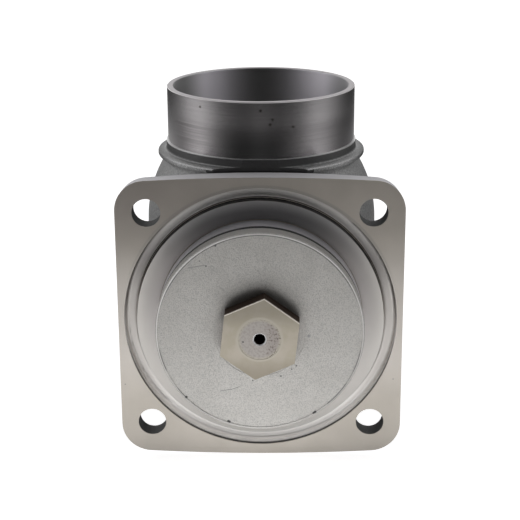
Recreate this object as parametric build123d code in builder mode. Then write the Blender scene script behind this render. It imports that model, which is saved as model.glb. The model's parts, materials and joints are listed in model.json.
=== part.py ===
from build123d import *
import os

os.makedirs("parts", exist_ok=True)

# Intake valve of a screw compressor: a cast elbow whose nozzle is closed by a sprung poppet disc
# X points right, Y along the valve axis into the valve, Z up the neck; sizes in millimetres
# The origin is the centre of the flange's mounting face, on the valve axis

# Flange
bolt_spacing = 110.0
bolt_hole_r = 7.0
flange_width = 140.7
flange_side_height = 140.2
flange_crown = 2.4
flange_thickness = 10.4
flange_corner_r = 15.0
side_draft = 0.5
corner_draft = 1.2

# Seal groove in the mounting face, and the dished ring between it and the nozzle
groove_outer_r = 67.4
groove_width = 6.3
groove_depth = 6.5
groove_corner_r = 2.0
dish_outer_depth = 0.7
dish_inner_depth = 3.7

# Nozzle that the disc closes
nozzle_r = 50.5
nozzle_bore_r = 43.0
nozzle_height = 7.7
nozzle_edge = 0.4
nozzle_bore_chamfer = 1.0
nozzle_bore_depth = 9.0
duct_flare = 7.0

# Chamber: a round pot on the neck's axis, its front inside the flange, with a duct to the flange
chamber_front_y = 0.6
chamber_r = 59.4
chamber_wall = 6.0
bowl_r = 48.0
duct_r = 58.0
duct_end_inset = 5.0
shoulder_start_z = 36.0
shoulder_top_z = 69.0
shoulder_top_r = 50.0

# Collar and neck
collar_r = 53.2
collar_top_z = 73.6
collar_thickness = 2.4
collar_slope = 0.8
collar_edge_r = 0.9
collar_root_r = 0.8
collar_flange_gap = 1.6
band_r = 48.8
step_z = 78.6
neck_r = 48.0
neck_wall = 3.2
neck_top_z = 106.6
rim_chamfer = 0.5

# Valve stroke and the clearances that the moving pieces keep
stroke = 18.0
seat_gap = 0.02
running_gap = 0.05
stop_gap = 0.3

# Disc, its seal, the plate that clamps the seal and the plate's screws
seal_thickness = 2.3
seal_nozzle_inset = 0.2
seal_plate_overlap = 1.0
disc_r = 50.6
disc_thickness = 8.6
disc_chamfer = 0.9
disc_lip_width = 0.4
disc_face_depth = 0.2
disc_hub_r = 17.0
disc_hub_length = 8.0
disc_rib_count = 6
disc_rib_thickness = 4.0
disc_rib_height = 5.0
disc_bore_gap = 0.2
spot_face_r = 22.0
spot_face_depth = 0.15
plate_thickness = 2.0
plate_nozzle_gap = 1.6
plate_rim_width = 6.4
plate_screw_count = 6
plate_screw_r = 2.0
plate_screw_head_r = 3.9
plate_screw_length = 8.5
screw_hole_gap = 0.1

# Hexagonal bolt with the bleed hole
bolt_across_flats = 36.0
bolt_head_height = 8.6
bolt_turn = 6.5
bolt_shank_r = 8.0
bolt_thread_length = 22.0
bleed_r = 2.8
bleed_chamfer = 0.5
face_ring_r = 10.3
face_ring_depth = 0.15

# Stem
stem_r = 10.0
stem_front_r = 13.0
stem_front_length = 28.0
stem_front_taper = 3.0
stem_bore_r = 3.0
stem_bore_length = 46.0
thread_runout = 3.0
cross_hole_r = 2.5
cross_hole_back = 6.0
stem_tail_r = 7.0
stem_tail_chamfer = 1.0

# Rear boss of the housing, bored for the actuator body
boss_r = 48.0
boss_stand = 2.6
boss_bore_r = 32.0
boss_thread_depth = 11.0
boss_root_r = 4.0
duct_root_r = 4.0

# Guide hub of the actuator body, which reaches into the chamber, and the pieces in it
hub_length = 40.0
hub_bore_gap = 3.0
hub_edge_r = 3.0
seal_pocket_r = 15.0
seal_pocket_depth = 11.0
stem_seal_width = 4.0
wiper_width = 4.5
circlip_width = 1.2
circlip_groove_depth = 1.2
circlip_ring_width = 2.6
circlip_opening = 6.0
bush_wall = 2.4
bush_length = 10.0

# Return spring in its pocket round the guide
spring_pocket_inner_r = 17.5
spring_pocket_outer_r = 25.5
spring_pocket_depth = 22.0
spring_seat_thickness = 1.5
spring_mean_r = 21.4
spring_wire_r = 1.8
spring_turns = 5

# Actuator body: pilot in the housing's bore, cylinder between two flanges
pilot_length = 8.0
actuator_edge = 0.8
pilot_gap = 0.1
cylinder_inset = 2.0
cylinder_bore_r = 32.0
cylinder_wall = 6.0
front_flange_thickness = 9.0
rear_flange_thickness = 10.0
breather_r = 1.5
breather_back = 16.0
stop_ring_thickness = 4.7
stop_ring_width = 5.0

# Piston and what it carries
piston_thickness = 12.0
piston_gap = 0.2
piston_boss_r = 17.0
piston_boss_height = 3.0
piston_groove_depth = 3.5
piston_groove_wall = 1.4
piston_seal_width = 3.8
guide_ring_width = 3.2
guide_groove_depth = 2.2
o_ring_width = 2.6
o_ring_depth = 2.2
piston_washer_r = 14.0
piston_washer_thickness = 1.6
piston_nut_across_flats = 22.0
piston_nut_height = 8.0
stem_tail_stand = 1.5

# Cylinder cover, control port, and the long bolts through cover and actuator body
piston_rear_gap = 1.0
spigot_length = 4.0
cover_thickness = 8.0
cover_boss_r = 20.0
cover_boss_height = 10.0
cover_edge_r = 1.5
nut_room_r = 15.5
nut_room_end_gap = 2.5
port_r = 5.8
port_chamfer = 1.0
spigot_o_ring_r = 1.1
cover_bolt_count = 6
cover_bolt_pitch_r = 42.0
cover_bolt_r = 3.0
cover_bolt_grip = 10.0
cover_bolt_head_r = 5.0
cover_bolt_head_height = 6.0
cover_bolt_socket_flats = 5.0
cover_bolt_socket_depth = 3.0
cover_washer_r = 6.0
cover_washer_thickness = 1.2
cover_hole_gap = 0.4

# Places along the valve axis that follow from the sizes
seat_y = -nozzle_height
neck_y = chamber_front_y + chamber_r
seal_r = nozzle_r - seal_nozzle_inset
plate_r = nozzle_bore_r - plate_nozzle_gap
plate_screw_pitch_r = plate_r - plate_rim_width
plate_inner_r = plate_screw_pitch_r - plate_rim_width
seal_inner_r = plate_inner_r + seal_plate_overlap
disc_back_y = seat_y - seal_thickness
disc_front_y = disc_back_y - disc_thickness
spot_y = disc_front_y + disc_face_depth + spot_face_depth
bolt_front_y = spot_y - bolt_head_height
disc_hub_end_y = disc_back_y + disc_hub_length
groove_inner_r = groove_outer_r - groove_width
collar_flat_y = flange_thickness + collar_flange_gap
duct_end_y = neck_y - duct_end_inset
duct_inner_r = duct_r - chamber_wall
bowl_offset = chamber_r - bowl_r
chamber_inner_r = chamber_r - chamber_wall
neck_bore_r = neck_r - neck_wall
guide_bore_r = stem_r + running_gap + bush_wall
boss_face_y = neck_y + chamber_r + boss_stand
hub_front_y = boss_face_y - hub_length
hub_r = boss_bore_r - hub_bore_gap
cylinder_front_y = boss_face_y + cylinder_inset
cylinder_outer_r = cylinder_bore_r + cylinder_wall
seal_shoulder_y = hub_front_y + seal_pocket_depth
spring_seat_y = cylinder_front_y - spring_pocket_depth
piston_front_y = cylinder_front_y + stop_ring_thickness + stop_gap + stroke
piston_rear_y = piston_front_y + piston_thickness
spigot_front_y = piston_rear_y + piston_rear_gap
cylinder_rear_y = spigot_front_y + spigot_length
cover_rear_y = cylinder_rear_y + cover_thickness
port_mouth_y = cover_rear_y + cover_boss_height
stem_end_y = piston_rear_y + piston_washer_thickness + piston_nut_height + stem_tail_stand
nut_room_end_y = stem_end_y + nut_room_end_gap
groove_half_width = spigot_o_ring_r + stop_gap / 2


def across(y):
    """Drawing plane square to the valve axis at depth y, seen from behind, with Z up."""
    return Plane(origin=(0, y, 0), x_dir=(-1, 0, 0), z_dir=(0, 1, 0))


def save(piece, name):
    piece.label = name
    export_step(piece, f"parts/{name}.step")


def make_ring(name, front_y, length, outer_r, inner_r):
    """A plain ring on the valve axis."""
    with BuildPart() as ring:
        with BuildSketch(across(front_y)):
            Circle(outer_r)
            Circle(inner_r, mode=Mode.SUBTRACT)
        extrude(amount=length)
    save(ring.part, name)


def cut_groove(start_y, length, radius):
    """Cuts an O-ring groove round the middle of a spigot and gives the groove's centre."""
    middle_y = start_y + length / 2
    with BuildSketch(across(middle_y - groove_half_width)) as ring:
        Circle(radius)
        Circle(radius - 2 * spigot_o_ring_r, mode=Mode.SUBTRACT)
    extrude(ring.sketch, amount=2 * groove_half_width, mode=Mode.SUBTRACT)
    return middle_y


def make_o_ring(name, middle_y, radius):
    """The O-ring that lies in such a groove."""
    with BuildPart() as o_ring:
        with BuildSketch(Plane.XY):
            with Locations((radius - spigot_o_ring_r, middle_y)):
                Circle(spigot_o_ring_r - seat_gap)
        revolve(axis=Axis.Y)
    save(o_ring.part, name)


# Housing: one casting with flange, nozzle, duct, chamber, rear boss and neck
neck_axis = Axis((0, neck_y, 0), (0, 0, 1))
neck_plane = Plane(origin=(0, neck_y, 0), x_dir=(1, 0, 0), z_dir=(0, -1, 0))

with BuildPart() as housing:
    # Pot, shoulder, collar, cast band and machined neck, turned about the neck's axis
    with BuildSketch(neck_plane) as outside:
        with BuildLine():
            bowl = CenterArc((bowl_offset, -bowl_offset), bowl_r, -90, 90)
            wall = Line(bowl @ 1, (chamber_r, shoulder_start_z))
            shoulder = TangentArc(wall @ 1, (shoulder_top_r, shoulder_top_z), tangent=(0, 1))
            Polyline(
                shoulder @ 1,
                (shoulder_top_r, collar_top_z - collar_thickness),
                (collar_r, collar_top_z - collar_thickness),
                (collar_r, collar_top_z),
                (band_r, collar_top_z + collar_slope),
                (band_r, step_z),
                (neck_r, step_z),
                (neck_r, neck_top_z),
                (0, neck_top_z),
                (0, -chamber_r),
                bowl @ 0,
            )
        make_face()
        fillet(outside.vertices().filter_by(lambda v: abs(v.X - collar_r) < 0.01), collar_edge_r)
        fillet(
            outside.vertices().filter_by(
                lambda v: abs(v.X - band_r) < 0.01 and abs(v.Y - collar_top_z - collar_slope) < 0.01
            ),
            collar_root_r,
        )
    revolve(axis=neck_axis)

    # The collar is cut flat where the flange stands in front of it
    with BuildSketch(Plane.XY.offset(shoulder_top_z)):
        with Locations((0, collar_flat_y)):
            Rectangle(2 * collar_r, collar_flat_y, align=(Align.CENTER, Align.MAX))
    extrude(amount=step_z - shoulder_top_z, mode=Mode.SUBTRACT)

    # Duct between flange and chamber, and the rear boss
    with BuildSketch(across(flange_thickness / 2)):
        Circle(duct_r)
    extrude(amount=duct_end_y - flange_thickness / 2)
    with BuildSketch(across(neck_y)):
        Circle(boss_r)
    extrude(amount=boss_face_y - neck_y)
    boss_root = housing.edges().filter_by(
        lambda e: e.center().Y < boss_face_y - boss_stand
        and all(abs(Vector(p.X, 0, p.Z).length - boss_r) < 0.01 for p in e.positions((0, 0.3, 0.6)))
    )
    fillet(boss_root, boss_root_r)

    # Flange: crowned top and bottom edges, and a slightly smaller outline at the back
    for outline_y, inset, drop in ((0, 0, 0), (flange_thickness, side_draft, corner_draft)):
        half_width = flange_width / 2 - inset
        half_side = flange_side_height / 2 - drop
        crest = flange_side_height / 2 + flange_crown
        with BuildSketch(across(outline_y)) as outline:
            with BuildLine():
                ThreePointArc((-half_width, half_side), (0, crest), (half_width, half_side))
                Line((half_width, half_side), (half_width, -half_side))
                ThreePointArc((half_width, -half_side), (0, -crest), (-half_width, -half_side))
                Line((-half_width, -half_side), (-half_width, half_side))
            make_face()
            fillet(outline.vertices(), flange_corner_r)
    loft(ruled=True)
    duct_root = housing.edges().filter_by(GeomType.CIRCLE).filter_by(
        lambda e: abs(e.radius - duct_r) < 0.01 and abs(e.arc_center.Y - flange_thickness) < 0.01
    )
    fillet(duct_root, duct_root_r)

    # Nozzle on the front
    with BuildSketch(across(seat_y)):
        Circle(nozzle_r)
    extrude(amount=nozzle_height + flange_thickness / 2)

    # Dished ring and seal groove in the mounting face
    with BuildSketch(Plane.XY):
        with BuildLine():
            Polyline(
                (nozzle_r, -1),
                (groove_inner_r, -1),
                (groove_inner_r, dish_outer_depth),
                (nozzle_r, dish_inner_depth),
                close=True,
            )
        make_face()
    revolve(axis=Axis.Y, mode=Mode.SUBTRACT)
    with BuildSketch(Plane.XY) as groove:
        with Locations((groove_inner_r, -1)):
            Rectangle(groove_width, groove_depth + 1, align=(Align.MIN, Align.MIN))
        fillet(groove.vertices().group_by(Axis.Y)[-1], groove_corner_r)
    revolve(axis=Axis.Y, mode=Mode.SUBTRACT)

    # Hollow of the pot and neck
    with BuildSketch(neck_plane):
        with BuildLine():
            inner_bowl = CenterArc(
                (bowl_offset, -bowl_offset), bowl_r - chamber_wall, -90, 90
            )
            inner_wall = Line(inner_bowl @ 1, (chamber_inner_r, shoulder_start_z))
            inner_shoulder = TangentArc(
                inner_wall @ 1, (neck_bore_r, shoulder_top_z - chamber_wall), tangent=(0, 1)
            )
            Polyline(
                inner_shoulder @ 1,
                (neck_bore_r, neck_top_z - rim_chamfer),
                (neck_bore_r + rim_chamfer, neck_top_z),
                (0, neck_top_z),
                (0, -chamber_inner_r),
                inner_bowl @ 0,
            )
        make_face()
    revolve(axis=neck_axis, mode=Mode.SUBTRACT)

    # Throat through the nozzle, flared into the duct
    with BuildSketch(Plane.XY):
        with BuildLine():
            Polyline(
                (0, seat_y),
                (nozzle_bore_r + nozzle_bore_chamfer, seat_y),
                (nozzle_bore_r, seat_y + nozzle_bore_chamfer),
                (nozzle_bore_r, nozzle_bore_depth),
                (duct_inner_r, nozzle_bore_depth + duct_flare),
                (duct_inner_r, duct_end_y),
                (0, duct_end_y),
                close=True,
            )
        make_face()
    revolve(axis=Axis.Y, mode=Mode.SUBTRACT)

    # Rear bore for the actuator body, with tapped holes round it
    with BuildSketch(across(boss_face_y)):
        Circle(boss_bore_r)
    extrude(amount=neck_y - boss_face_y, mode=Mode.SUBTRACT)
    with BuildSketch(across(boss_face_y)):
        with PolarLocations(cover_bolt_pitch_r, cover_bolt_count):
            Circle(cover_bolt_r + seat_gap)
    extrude(amount=-boss_thread_depth, mode=Mode.SUBTRACT)

    # Flange bolt holes
    with BuildSketch(across(0)):
        with GridLocations(bolt_spacing, bolt_spacing, 2, 2):
            Circle(bolt_hole_r)
    extrude(amount=flange_thickness, mode=Mode.SUBTRACT)

    # Broken edges of nozzle and neck rim
    circles = housing.edges().filter_by(GeomType.CIRCLE)
    nozzle_rim = circles.filter_by(
        lambda e: abs(e.radius - nozzle_r) < 0.01 and abs(e.arc_center.Y - seat_y) < 0.01
    )
    chamfer(nozzle_rim, nozzle_edge)
    neck_rim = housing.edges().filter_by(GeomType.CIRCLE).filter_by(
        lambda e: abs(e.radius - neck_r) < 0.01 and abs(e.arc_center.Z - neck_top_z) < 0.01
    )
    chamfer(neck_rim, rim_chamfer)
save(housing.part, "housing")

# Actuator body: hub, pilot, front flange, cylinder and rear flange on one axis
pilot_r = boss_bore_r - pilot_gap
pilot_front_y = boss_face_y - pilot_length
with BuildPart() as actuator_body:
    for start_y, end_y, radius in (
        (hub_front_y, boss_face_y, hub_r),
        (pilot_front_y, boss_face_y, pilot_r),
        (boss_face_y, boss_face_y + front_flange_thickness, boss_r),
        (boss_face_y, cylinder_rear_y, cylinder_outer_r),
        (cylinder_rear_y - rear_flange_thickness, cylinder_rear_y, boss_r),
    ):
        with BuildSketch(across(start_y)):
            Circle(radius)
        extrude(amount=end_y - start_y)

    # Spring pocket open to the cylinder
    with BuildSketch(across(cylinder_front_y)):
        Circle(spring_pocket_outer_r)
        Circle(spring_pocket_inner_r, mode=Mode.SUBTRACT)
    extrude(amount=-spring_pocket_depth, mode=Mode.SUBTRACT)

    # Guide bore, pocket for seal and wiper, groove for the circlip
    with BuildSketch(across(hub_front_y)):
        Circle(guide_bore_r)
    extrude(amount=cylinder_front_y - hub_front_y, mode=Mode.SUBTRACT)
    with BuildSketch(across(hub_front_y)):
        Circle(seal_pocket_r)
    extrude(amount=seal_pocket_depth, mode=Mode.SUBTRACT)
    circlip_y = seal_shoulder_y - stem_seal_width - wiper_width - circlip_width
    with BuildSketch(across(circlip_y - seat_gap)):
        Circle(seal_pocket_r + circlip_groove_depth)
    extrude(amount=circlip_width + 2 * seat_gap, mode=Mode.SUBTRACT)

    # Cylinder bore, and the breather hole from the spring pocket into the chamber
    with BuildSketch(across(cylinder_front_y)):
        Circle(cylinder_bore_r)
    extrude(amount=cylinder_rear_y - cylinder_front_y, mode=Mode.SUBTRACT)
    with BuildSketch(Plane.XY.offset(spring_mean_r)):
        with Locations((0, cylinder_front_y - breather_back)):
            Circle(breather_r)
    extrude(amount=hub_r - spring_mean_r + breather_r, mode=Mode.SUBTRACT)

    # Bolt holes through both flanges, and the groove for the pilot's O-ring
    with BuildSketch(across(boss_face_y)):
        with PolarLocations(cover_bolt_pitch_r, cover_bolt_count):
            Circle(cover_bolt_r + cover_hole_gap)
    extrude(amount=cylinder_rear_y - boss_face_y, mode=Mode.SUBTRACT)
    pilot_groove_y = cut_groove(pilot_front_y, pilot_length, pilot_r)

    # Broken edges of the flanges and the hub
    circles = actuator_body.edges().filter_by(GeomType.CIRCLE)
    chamfer(circles.filter_by(lambda e: abs(e.radius - boss_r) < 0.01), actuator_edge)
    hub_rim = actuator_body.edges().filter_by(GeomType.CIRCLE).filter_by(
        lambda e: abs(e.radius - hub_r) < 0.01 and abs(e.arc_center.Y - hub_front_y) < 0.01
    )
    fillet(hub_rim, hub_edge_r)
save(actuator_body.part, "actuator_body")
make_o_ring("pilot_o_ring", pilot_groove_y, pilot_r)

# Valve disc: blasted front, spot face for the bolt, hub and ribs on the back
with BuildPart() as valve_disc:
    with BuildSketch(across(disc_front_y)):
        Circle(disc_r)
    extrude(amount=disc_thickness)
    front_rim = valve_disc.edges().filter_by(GeomType.CIRCLE).sort_by(Axis.Y)[0]
    chamfer(front_rim, disc_chamfer)
    with BuildSketch(across(disc_front_y)):
        Circle(disc_r - disc_chamfer - disc_lip_width)
    extrude(amount=disc_face_depth, mode=Mode.SUBTRACT)
    with BuildSketch(across(disc_back_y)):
        Circle(disc_hub_r)
    extrude(amount=disc_hub_length)
    rib_length = seal_inner_r - 2 * disc_chamfer
    with BuildSketch(across(disc_back_y)):
        with PolarLocations(0, disc_rib_count):
            Rectangle(rib_length, disc_rib_thickness, align=(Align.MIN, Align.CENTER))
    extrude(amount=disc_rib_height)
    with BuildSketch(across(spot_y)):
        Circle(spot_face_r)
    extrude(amount=-spot_face_depth, mode=Mode.SUBTRACT)
    with BuildSketch(across(disc_front_y)):
        Circle(bolt_shank_r + disc_bore_gap)
    extrude(amount=disc_thickness + disc_hub_length, mode=Mode.SUBTRACT)
    with BuildSketch(across(disc_back_y)):
        with PolarLocations(plate_screw_pitch_r, plate_screw_count):
            Circle(plate_screw_r + seat_gap)
    extrude(amount=-(plate_screw_length - plate_thickness - seal_thickness + 1), mode=Mode.SUBTRACT)
save(valve_disc.part, "valve_disc")

# Disc seal: flat rubber ring between disc and nozzle
with BuildPart() as disc_seal:
    with BuildSketch(across(disc_back_y)):
        Circle(seal_r)
        Circle(seal_inner_r, mode=Mode.SUBTRACT)
        with PolarLocations(plate_screw_pitch_r, plate_screw_count):
            Circle(plate_screw_r + screw_hole_gap, mode=Mode.SUBTRACT)
    extrude(amount=seal_thickness)
save(disc_seal.part, "disc_seal")

# Seal plate: steel ring that clamps the seal's inner edge, countersunk for its screws
with BuildPart() as seal_plate:
    with BuildSketch(across(seat_y)):
        Circle(plate_r)
        Circle(plate_inner_r, mode=Mode.SUBTRACT)
    extrude(amount=plate_thickness)
    with Locations(across(seat_y + plate_thickness)):
        with PolarLocations(plate_screw_pitch_r, plate_screw_count):
            CounterSinkHole(plate_screw_r + screw_hole_gap, plate_screw_head_r + screw_hole_gap)
save(seal_plate.part, "seal_plate")

# Countersunk screws of the seal plate, as one group
head_slope = plate_screw_head_r - plate_screw_r
with BuildPart() as plate_screws:
    with BuildSketch(Plane.XY):
        with BuildLine():
            top_y = seat_y + plate_thickness
            Polyline(
                (plate_screw_pitch_r, top_y),
                (plate_screw_pitch_r + plate_screw_head_r, top_y),
                (plate_screw_pitch_r + plate_screw_r, top_y - head_slope),
                (plate_screw_pitch_r + plate_screw_r, top_y - plate_screw_length),
                (plate_screw_pitch_r, top_y - plate_screw_length),
                close=True,
            )
        make_face()
    screw_axis = Axis((plate_screw_pitch_r, 0, 0), (0, 1, 0))
    first_screw = revolve(axis=screw_axis, mode=Mode.PRIVATE)
    for number in range(plate_screw_count):
        add(first_screw.rotate(Axis.Y, number * 360 / plate_screw_count))
save(plate_screws.part, "plate_screws")

# Bleed bolt: hexagon head turned from bar, threaded shank, hole right through
with BuildPart() as bleed_bolt:
    with BuildSketch(across(bolt_front_y)):
        RegularPolygon(bolt_across_flats / 2, 6, major_radius=False, rotation=90 + bolt_turn)
    extrude(amount=bolt_head_height)
    with BuildSketch(across(spot_y)):
        Circle(bolt_shank_r)
    extrude(amount=disc_hub_end_y + bolt_thread_length - spot_y)
    with BuildSketch(across(bolt_front_y)):
        Circle(face_ring_r)
    extrude(amount=face_ring_depth, mode=Mode.SUBTRACT)
    with BuildSketch(across(bolt_front_y)):
        Circle(bleed_r)
    extrude(amount=disc_hub_end_y + bolt_thread_length - bolt_front_y, mode=Mode.SUBTRACT)
    bleed_mouth = bleed_bolt.edges().filter_by(GeomType.CIRCLE).filter_by(
        lambda e: abs(e.radius - bleed_r) < 0.01
    ).sort_by(Axis.Y)[0]
    chamfer(bleed_mouth, bleed_chamfer)
save(bleed_bolt.part, "bleed_bolt")

# Stem: thick threaded front, ground shaft, tail for the piston, bleed bore with cross holes
stem_front_end_y = disc_hub_end_y + stem_front_length
stem_bore_end_y = disc_hub_end_y + stem_bore_length
cross_hole_y = stem_bore_end_y - cross_hole_back
with BuildPart() as stem:
    with BuildSketch(Plane.XY):
        with BuildLine():
            Polyline(
                (0, disc_hub_end_y),
                (stem_front_r, disc_hub_end_y),
                (stem_front_r, stem_front_end_y),
                (stem_r, stem_front_end_y + stem_front_taper),
                (stem_r, piston_front_y),
                (stem_tail_r, piston_front_y),
                (stem_tail_r, stem_end_y - stem_tail_chamfer),
                (stem_tail_r - stem_tail_chamfer, stem_end_y),
                (0, stem_end_y),
                close=True,
            )
        make_face()
    revolve(axis=Axis.Y)
    with BuildSketch(across(disc_hub_end_y)):
        Circle(bolt_shank_r + seat_gap)
    extrude(amount=bolt_thread_length + thread_runout, mode=Mode.SUBTRACT)
    with BuildSketch(across(disc_hub_end_y)):
        Circle(stem_bore_r)
    extrude(amount=stem_bore_length, mode=Mode.SUBTRACT)
    with BuildSketch(Plane(origin=(0, cross_hole_y, 0), z_dir=(0, 0, 1))):
        Circle(cross_hole_r)
    extrude(amount=stem_r, both=True, mode=Mode.SUBTRACT)
    with BuildSketch(Plane(origin=(0, cross_hole_y, 0), z_dir=(1, 0, 0))):
        Circle(cross_hole_r)
    extrude(amount=stem_r, both=True, mode=Mode.SUBTRACT)
save(stem.part, "stem")

# Stem seal, wiper and bushes in the hub
guide_r = stem_r + running_gap
make_ring(
    "stem_seal", seal_shoulder_y - stem_seal_width, stem_seal_width, seal_pocket_r - seat_gap, guide_r
)
make_ring(
    "stem_wiper", circlip_y + circlip_width, wiper_width, seal_pocket_r - seat_gap, guide_r
)
make_ring(
    "front_guide_bush", seal_shoulder_y, bush_length, guide_bore_r - seat_gap, guide_r
)
make_ring(
    "rear_guide_bush", cylinder_front_y - bush_length, bush_length, guide_bore_r - seat_gap, guide_r
)

# Circlip: open ring in the hub's groove
with BuildPart() as circlip:
    with BuildSketch(across(circlip_y)):
        clip_r = seal_pocket_r + circlip_groove_depth - seat_gap
        Circle(clip_r)
        Circle(clip_r - circlip_ring_width, mode=Mode.SUBTRACT)
        Rectangle(circlip_opening, 2 * clip_r, align=(Align.CENTER, Align.MIN), mode=Mode.SUBTRACT)
    extrude(amount=circlip_width)
save(circlip.part, "wiper_circlip")

# Spring seat ring at the bottom of the pocket
make_ring(
    "spring_seat_ring",
    spring_seat_y,
    spring_seat_thickness,
    spring_pocket_outer_r - stop_gap,
    spring_pocket_inner_r + stop_gap,
)

# Return spring between the seat ring and the piston, at its length with the valve closed
spring_start_y = spring_seat_y + spring_seat_thickness + spring_wire_r + seat_gap
spring_end_y = piston_front_y - spring_wire_r - seat_gap
spring_height = spring_end_y - spring_start_y
with BuildPart() as return_spring:
    with BuildLine() as coil:
        Helix(
            pitch=spring_height / spring_turns,
            height=spring_height,
            radius=spring_mean_r,
            center=(0, spring_start_y, 0),
            direction=(0, 1, 0),
        )
    with BuildSketch(Plane(coil.line @ 0, z_dir=coil.line % 0)):
        Circle(spring_wire_r)
    sweep()
save(return_spring.part, "return_spring")

# Stop ring that the piston meets when the valve is fully open
make_ring(
    "stop_ring",
    cylinder_front_y,
    stop_ring_thickness,
    cylinder_bore_r - stop_gap,
    cylinder_bore_r - stop_gap - stop_ring_width,
)

# Piston: two grooves on the outside, one O-ring groove in the bore, spring boss in front
seal_groove_y = piston_rear_y - piston_groove_wall - piston_seal_width
guide_groove_y = piston_front_y + piston_groove_wall
o_ring_y = piston_front_y + (piston_thickness - o_ring_width) / 2
piston_r = cylinder_bore_r - piston_gap
with BuildPart() as piston:
    with BuildSketch(across(piston_front_y)):
        Circle(piston_r)
    extrude(amount=piston_thickness)
    with BuildSketch(across(piston_front_y)):
        Circle(piston_boss_r)
        Circle(stem_r + seat_gap, mode=Mode.SUBTRACT)
    extrude(amount=-piston_boss_height)
    for groove_y, width, depth in (
        (seal_groove_y, piston_seal_width, piston_groove_depth),
        (guide_groove_y, guide_ring_width, guide_groove_depth),
    ):
        with BuildSketch(across(groove_y)):
            Circle(piston_r)
            Circle(piston_r - depth, mode=Mode.SUBTRACT)
        extrude(amount=width, mode=Mode.SUBTRACT)
    with BuildSketch(across(piston_front_y)):
        Circle(stem_tail_r + seat_gap)
    extrude(amount=piston_thickness, mode=Mode.SUBTRACT)
    with BuildSketch(across(o_ring_y)):
        Circle(stem_tail_r + o_ring_depth)
    extrude(amount=o_ring_width, mode=Mode.SUBTRACT)
save(piston.part, "piston")

# Rings on and in the piston
make_ring(
    "piston_seal",
    seal_groove_y + seat_gap,
    piston_seal_width - 2 * seat_gap,
    cylinder_bore_r - running_gap,
    piston_r - piston_groove_depth + seat_gap,
)
make_ring(
    "piston_guide_ring",
    guide_groove_y + seat_gap,
    guide_ring_width - 2 * seat_gap,
    cylinder_bore_r - running_gap,
    piston_r - guide_groove_depth + seat_gap,
)
make_ring(
    "piston_o_ring",
    o_ring_y + seat_gap,
    o_ring_width - 2 * seat_gap,
    stem_tail_r + o_ring_depth - seat_gap,
    stem_tail_r + seat_gap,
)
make_ring(
    "piston_washer",
    piston_rear_y,
    piston_washer_thickness,
    piston_washer_r,
    stem_tail_r + seat_gap,
)

# Self-locking nut that holds the piston
with BuildPart() as piston_nut:
    with BuildSketch(across(piston_rear_y + piston_washer_thickness)):
        RegularPolygon(piston_nut_across_flats / 2, 6, major_radius=False)
        Circle(stem_tail_r + seat_gap, mode=Mode.SUBTRACT)
    extrude(amount=piston_nut_height)
save(piston_nut.part, "piston_nut")

# Cylinder cover: flange, spigot, room for the nut and boss with the control air port
spigot_r = cylinder_bore_r - pilot_gap
with BuildPart() as cylinder_cover:
    with BuildSketch(across(cylinder_rear_y)):
        Circle(boss_r)
    extrude(amount=cover_thickness)
    cover_rim = cylinder_cover.edges().filter_by(GeomType.CIRCLE).sort_by(Axis.Y)[-1]
    fillet(cover_rim, cover_edge_r)
    with BuildSketch(across(cover_rear_y)):
        Circle(cover_boss_r)
    extrude(amount=cover_boss_height)
    boss_rim = cylinder_cover.edges().filter_by(GeomType.CIRCLE).sort_by(Axis.Y)[-1]
    fillet(boss_rim, cover_edge_r)
    with BuildSketch(across(spigot_front_y)):
        Circle(spigot_r)
    extrude(amount=spigot_length)
    cover_groove_y = cut_groove(spigot_front_y, spigot_length, spigot_r)
    with BuildSketch(across(spigot_front_y)):
        Circle(nut_room_r)
    extrude(amount=nut_room_end_y - spigot_front_y, mode=Mode.SUBTRACT)
    with BuildSketch(across(port_mouth_y)):
        Circle(port_r)
    extrude(amount=-(port_mouth_y - nut_room_end_y), mode=Mode.SUBTRACT)
    port_rim = cylinder_cover.edges().filter_by(GeomType.CIRCLE).filter_by(
        lambda e: abs(e.radius - port_r) < 0.01
    ).sort_by(Axis.Y)[-1]
    chamfer(port_rim, port_chamfer)
    with BuildSketch(across(cylinder_rear_y)):
        with PolarLocations(cover_bolt_pitch_r, cover_bolt_count):
            Circle(cover_bolt_r + cover_hole_gap)
    extrude(amount=cover_thickness, mode=Mode.SUBTRACT)
save(cylinder_cover.part, "cylinder_cover")
make_o_ring("cover_o_ring", cover_groove_y, spigot_r)

# Cover bolts and their washers, each as one group
head_y = cover_rear_y + cover_washer_thickness
with BuildPart() as cover_bolts:
    with BuildSketch(across(head_y)):
        with PolarLocations(cover_bolt_pitch_r, cover_bolt_count):
            Circle(cover_bolt_head_r)
    extrude(amount=cover_bolt_head_height)
    with BuildSketch(across(head_y + cover_bolt_head_height)):
        with PolarLocations(cover_bolt_pitch_r, cover_bolt_count):
            RegularPolygon(cover_bolt_socket_flats / 2, 6, major_radius=False)
    extrude(amount=-cover_bolt_socket_depth, mode=Mode.SUBTRACT)
    with BuildSketch(across(head_y)):
        with PolarLocations(cover_bolt_pitch_r, cover_bolt_count):
            Circle(cover_bolt_r)
    extrude(amount=boss_face_y - cover_bolt_grip - head_y)
save(cover_bolts.part, "cover_bolts")

with BuildPart() as cover_washers:
    with BuildSketch(across(cover_rear_y)):
        with PolarLocations(cover_bolt_pitch_r, cover_bolt_count):
            Circle(cover_washer_r)
            Circle(cover_bolt_r + screw_hole_gap, mode=Mode.SUBTRACT)
    extrude(amount=cover_washer_thickness)
save(cover_washers.part, "cover_washers")
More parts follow.
